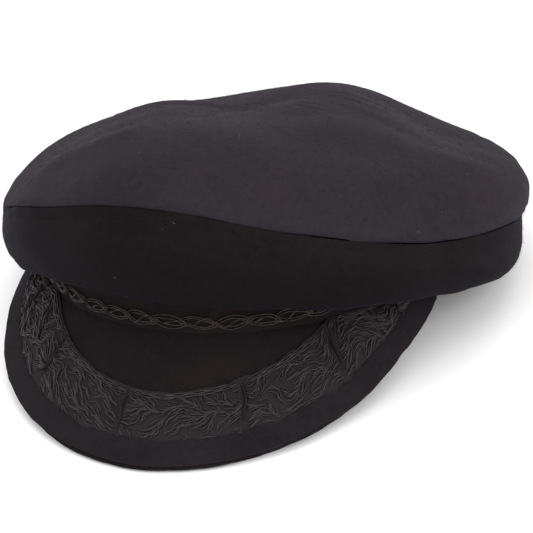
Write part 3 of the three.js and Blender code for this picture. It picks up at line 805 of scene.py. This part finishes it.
def walked(turn, share, panel_number, panel, length, wave, lift):
    """One thread, walked along the flow from its start until it is long enough or leaves the panel."""
    path = []
    phase = 5 * noise.noise(Vector((turn * 0.25, share * 3, 9)))
    per_degree = (trim_point(turn + 0.5, share, 0) - trim_point(turn - 0.5, share, 0)).length / MM
    inner, outer = trim_edges(turn)
    count = round(length / WALK_STEP)
    for i in range(count + 1):
        rise = lift * abs(math.sin(math.pi * i / count)) ** 0.6
        to_joint = min(turn - panel[0], panel[1] - turn) * per_degree
        path.append(trim_point(turn, share, rise - DIP_DEPTH * hump(to_joint, DIP_WIDTH)))
        own_wave = wave * math.cos(2 * math.pi * i * WALK_STEP / WAVE_LENGTH + phase)
        slant = flow(turn, share, panel_number) + own_wave
        turn += WALK_STEP * math.cos(slant) / per_degree
        share += WALK_STEP * math.sin(slant) / (outer - inner)
        if not (panel[0] <= turn < panel[1] and 0.02 < share < 0.98):
            break
    return path


joints = [-TRIM_HALF] + [FIRST_JOINT + JOINT_ANGLE * k for k in range(6)] + [TRIM_HALF]
print("trim has", len(joints) - 1, "panels")

# %% Pad of the trim
PAD_LOWERED, GROOVE_DEPTH, GROOVE_WIDTH = 0.0005, 0.0010, 0.7  # two in metres, the width in millimetres
TRIM_REACH = 1.3  # the trim is about this many times as far from the middle as the band


def pad_relief(place, normal):
    """A fine bumpy ground, and a deep narrow groove at each joint."""
    turn = (turn_of(place) + 180) % 360 - 180
    degrees = min(abs(turn - joint) for joint in joints[1:-1])
    to_joint = degrees * band_reach(turn) * TRIM_REACH * math.pi / 180
    return 0.0002 * noise.noise(place * 300.0) - PAD_LOWERED - GROOVE_DEPTH * hump(to_joint, GROOVE_WIDTH)


trim_pad = pressed(baked("trim_pad", even_rows("peak_trim"), 3), pad_relief)
trim_pad.data.materials.append(pad_thread)
kept(trim_pad, "trim_thread", "peak_trim")

# %% Threads of the trim
JOINT_GAP = 0.2  # degrees left free beside a joint
HEM_ROWS = ((0.03, 0.2), (0.07, 0.45), (0.11, 0.3))  # share of the width, and lift
HEM_STEPS, SEAM_STEPS = 24, 20
rng = random.Random(7)
fill, ribs = [], []
for number, (low, high) in enumerate(zip(joints, joints[1:])):
    panel = (low + JOINT_GAP, high - JOINT_GAP)
    for layer, along, across, length, wave, lift in (
        (fill, 2.6, 0.040, (5, 10), 0.3, (0.1, 0.35)),
        (ribs, 4.4, 0.115, (5, 10), 0.25, (0.45, 0.75)),
    ):
        turn = panel[0]
        while turn < panel[1] - 0.8:
            share = 0.03 + rng.uniform(0, across)
            while share < 0.97:
                start = max(panel[0], turn + rng.uniform(-0.5, 0.5) * along)
                long, high_up = rng.uniform(*length), rng.uniform(*lift)
                layer.append(walked(start, share, number, panel, long, wave, high_up))
                share += across * rng.uniform(0.8, 1.2)
            turn += along
    for share, lift in HEM_ROWS:
        turns = [panel[0] + (panel[1] - panel[0]) * i / HEM_STEPS for i in range(HEM_STEPS + 1)]
        ribs.append([trim_point(t, share + 0.008 * math.sin(t * 1.7 + share * 90), lift) for t in turns])
shares = [0.02 + 0.8 * i / SEAM_STEPS for i in range(SEAM_STEPS + 1)]
# A dark sewing thread lies in each joint and closes it; its dark colour also paints the shade in the sunk
# joint.
joint_seams = [[trim_point(joint + 0.35 * math.sin(9 * share + joint), share, 0.25) for share in shares]
               for joint in joints[1:-1]]
for name, layer, thickness, finish in (
    ("trim_fill_threads", fill, 0.00048, trim_thread),
    ("trim_leaf_ribs", ribs, 0.00075, trim_thread),
    ("trim_joint_seams", joint_seams, 0.0011, sewing_thread),
):
    threads = strands(name, [path for path in layer if len(path) > 2], thickness, tapered=True)
    threads.data.materials.append(finish)
    kept(threads, "trim_thread", "peak_trim")
print("embroidery has", len(fill), "thin and", len(ribs), "thick threads")

# %% [markdown]
# ## The braid
#
# Over the peak lies a chain plait of thin cord. Each loop is a long pointed ring of two strands,
# drawn through the one before, so that one of its ends rides over its neighbour and the other dips
# under. A small knot sits where two loops meet. Towards the buttons the loops close up. All loops
# differ a little in width, tilt and place, as in a plait made by hand, and one single strand wanders
# through all of them.

# %% The braid's line
BRAID_HALF = 70.0  # degrees
BRAID_UP, BRAID_RISE = 3.2, 8.0  # millimetres above the peak's root, and how much more at the buttons
stations = [t / 2 for t in range(181)]
round_band = [point_at(turn, band_reach(turn), 0) for turn in stations]
band_lengths = [0.0]
for here, there in zip(round_band, round_band[1:]):
    band_lengths.append(band_lengths[-1] + (there - here).length)
turn_along = smooth_through(band_lengths, stations)
half_length = next(length for length, turn in zip(band_lengths, stations) if turn >= BRAID_HALF)


def on_band(length, across, out):
    """A point over the braid's line, length millimetres round from the front."""
    turn = math.copysign(turn_along(abs(length)), length)
    height = PEAK_SEAT + BRAID_UP + BRAID_RISE * abs(turn / BRAID_HALF) ** 3 + across
    return on_table(point_at(turn, band_reach(turn), height) + outward(turn) * out)


def open_share(length):
    """How wide a loop is, from 1 at the front to 0.3 at a button."""
    return 1 - 0.7 * abs(length / half_length) ** 6


print("braid is", round(2 * half_length), "mm long")

# %% Loops of the braid
LOOP_PITCH, LOOP_LENGTH, LOOP_WIDTH = 12.6, 16.2, 5.6  # millimetres
STRAND_GAP = 1.2  # millimetres between the two strands of a loop
LOOP_OUT, LOOP_RIDE = 1.35, 0.8  # millimetres off the band, and more or less of it at the ends
LOOP_STEPS = 24
loop_count = round(2 * half_length / LOOP_PITCH)
centres = [half_length * (2 * n / loop_count - 1) for n in range(loop_count + 1)]
centres[1:-1] = [place + rng.uniform(-1.3, 1.3) for place in centres[1:-1]]
loops = []
for n, centre in enumerate(centres):
    tilt, uneven = rng.uniform(-0.14, 0.14), rng.uniform(-0.45, 0.45)
    for inset in (0.0, STRAND_GAP):
        long = LOOP_LENGTH / 2 - 1.3 * inset
        wide = (LOOP_WIDTH / 2 - inset) * open_share(centre) * rng.uniform(0.84, 1.1)
        loop = []
        for i in range(LOOP_STEPS):
            angle = 2 * math.pi * (i + 0.5) / LOOP_STEPS
            u = long * math.cos(angle)
            v = wide * math.copysign(abs(math.sin(angle)) ** 1.7, math.sin(angle))
            v *= 1 + uneven * math.cos(angle)
            lean = LOOP_OUT + LOOP_RIDE * math.cos(angle) + 0.12 * math.sin(5 * angle + n + 3 * inset)
            across = v + u * tilt + 0.15 * math.sin(3 * angle + 2 * n)
            loop.append(on_band(centre + u - v * tilt, across, lean))
        loops.append(loop)
print("braid has", len(centres), "loops")

# %% Single strand and knots of the braid
STRAND = 0.44  # millimetres across
KNOT_OUT, KNOT_ASIDE = 2.15, 0.6  # millimetres off the band, and to either side of its line
KNOT_STEPS, WANDER_STEPS = 10, 9
wander = []
for i in range(loop_count * WANDER_STEPS):
    length = half_length * (2 * i / (loop_count * WANDER_STEPS) - 1)
    across = open_share(length) * (1.5 * math.sin(i * 0.7) + 0.9 * math.sin(i * 0.43))
    wander.append(on_band(length, across, 1.5 + 0.7 * math.sin(i * 0.7 + 1.2)))
knots = []
for n, (left, right) in enumerate(zip(centres, centres[1:])):
    place, size = (left + right) / 2, rng.uniform(0.8, 1.25)
    aside = KNOT_ASIDE if n % 2 else -KNOT_ASIDE
    knot = []
    for i in range(KNOT_STEPS):
        angle = 2 * math.pi * i / KNOT_STEPS
        across = rng.uniform(-0.1, 0.1) + size * math.sin(angle) + aside
        knot.append(on_band(place + size * math.cos(angle), across, KNOT_OUT + 0.25 * math.sin(2 * angle)))
    knots.append(knot)
for name, paths, closed in (
    ("braid_single", [wander], False),
    ("braid_loops", loops, True),
    ("braid_knots", knots, True),
):
    cord = strands(name, paths, STRAND * MM, closed=closed, sides=6)
    cord.data.materials.append(braid_thread)
    kept(cord, "braid_cord", "braid")

# %% [markdown]
# ## The buttons
#
# One cloth-covered button at each end holds the braid. A button is turned like a bowl on a lathe:
# half of its outline is extruded step by step from one point, and a full spin closes it.

# %% Buttons
BUTTON_OUTLINE = [  # distance from the axis and height over the band, in millimetres
    (0, 0.0), (0.7, 0.0), (0.7, 3.9), (4.6, 3.9), (5.35, 4.2), (5.5, 4.6),
    (5.25, 5.3), (4.5, 6.0), (3.0, 6.6), (1.4, 6.86), (0, 6.9),
]


def button(name, turn):
    """A domed button on its shank, standing off the band."""
    bm = bmesh.new()
    last = bm.verts.new((0, 0, 0))
    for reach, height in BUTTON_OUTLINE[1:]:
        drawn = bmesh.ops.extrude_vert_indiv(bm, verts=[last])["verts"][0]
        drawn.co = (reach * MM, 0, height * MM)
        last = drawn
    bmesh.ops.spin(bm, geom=bm.verts[:] + bm.edges[:], cent=(0, 0, 0), axis=(0, 0, 1),
                   angle=2 * math.pi, steps=28, use_merge=True, use_duplicate=False)
    bmesh.ops.remove_doubles(bm, verts=bm.verts, dist=0.000001)
    bmesh.ops.recalc_face_normals(bm, faces=bm.faces)
    axis = (on_table(outward(turn)) - on_table((0, 0, 0))).normalized()
    facing = axis.to_track_quat("Z", "Y").to_matrix().to_4x4()
    foot = Matrix.Translation(on_band(math.copysign(half_length, turn), 0, 0.3))
    bmesh.ops.transform(bm, matrix=foot @ facing, verts=bm.verts)
    mesh = bpy.data.meshes.new(name)
    bm.to_mesh(mesh)
    bm.free()
    mesh.shade_smooth()
    return linked(name, mesh)


for name, turn in (("button_left", BRAID_HALF), ("button_right", -BRAID_HALF)):
    fastener = button(name + "_cloth", turn)
    fastener.data.materials.append(band_felt)
    kept(fastener, "button_cloth", name)

# %% [markdown]
# ## Fuzz and lint
#
# Felt has loose fibre ends that stand off it and soften its outline, and it collects pale lint.
# Both are very thin short threads, scattered by a fixed seed over the outside of the crown: each
# starts at a random point of a random face, in proportion to the face's size, and bends over.

# %% Scattered fibres
FIBRE_ROOT = 0.0001  # a fibre starts this far inside the cloth, in metres
FIBRE_ARC = 2.4  # its height follows a sine wave over this many radians
CROWN_MIDDLE = Vector((0, 0, 0.055))


def outside(place, normal):
    """Whether a face looks away from the crown's middle, and not down under the fold."""
    from_middle = place - CROWN_MIDDLE
    from_below = Vector((place.x, place.y, 0.03 + place.z * 0.4))
    return normal.dot(from_middle) > 0 and normal.dot(from_below) > 0


def scattered(piece, count):
    """Random points on a piece's outside, with the normal there."""
    faces = [f for f in piece.data.polygons if outside(f.center, f.normal)]
    chosen = rng.choices(faces, weights=[f.area for f in faces], k=count)
    for face in chosen:
        corners = [piece.data.vertices[i].co for i in face.vertices]
        shares = [rng.random() + 0.01 for _ in corners]
        yield sum((c * s for c, s in zip(corners, shares)), Vector()) / sum(shares), face.normal.copy()


def bent_hair(place, off, length, stand):
    """A short path that starts in the cloth, stands off it and bends over."""
    along = off.cross(Vector((rng.uniform(-1, 1), rng.uniform(-1, 1), rng.uniform(-1, 1)))).normalized()
    aside = off.cross(along) * length * rng.uniform(-0.6, 0.6)
    path = []
    for t in (0.0, 0.33, 0.66, 1.0):
        height = length * stand * math.sin(FIBRE_ARC * t) - FIBRE_ROOT
        path.append(place + along * length * t + aside * t * t + off * height)
    return path

# %% Fuzz and lint
FUZZ_ACROSS, LINT_ACROSS = 0.00005, 0.00012  # metres
LINT_COUNT = 45  # on each panel
fuzz_fibre = thread("felt_fuzz_fibre", (0.010, 0.008, 0.0095), (0.024, 0.020, 0.023), 0.9, turns=1, shine=0.0)
lint_fibre = thread("pale_lint", (0.06, 0.056, 0.06), (0.20, 0.19, 0.20), 0.8, turns=1, shine=0.1)
for panel, slot, count in ((crown_top, "top_felt", 6000), (crown_side, "side_felt", 5000)):
    hairs = [bent_hair(place, off, rng.uniform(0.0008, 0.0022), rng.uniform(0.2, 0.7))
             for place, off in scattered(panel, count)]
    fuzz = strands(panel.name + "_fuzz", hairs, FUZZ_ACROSS)
    fuzz.data.materials.append(fuzz_fibre)
    kept(fuzz, slot)
specks = [bent_hair(place, off, rng.uniform(0.0006, 0.0022), rng.uniform(0.05, 0.15))
          for panel in (crown_top, crown_side) for place, off in scattered(panel, LINT_COUNT)]
lint = strands("lint_on_felt", specks, LINT_ACROSS)
lint.data.materials.append(lint_fibre)
kept(lint, "side_felt")

# %% [markdown]
# ## Sheets and sizes
#
# The two crown panels are sheets of cloth. Band and peak are stiff, and the braid is sewn down. The
# last lines write down how big the solids and the dressed cap are, so that the two can be compared.

dressed_box = [list(corner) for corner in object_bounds()]
print("dressed cap reaches from", [round(v, 4) for v in dressed_box[0]],
      "to", [round(v, 4) for v in dressed_box[1]])
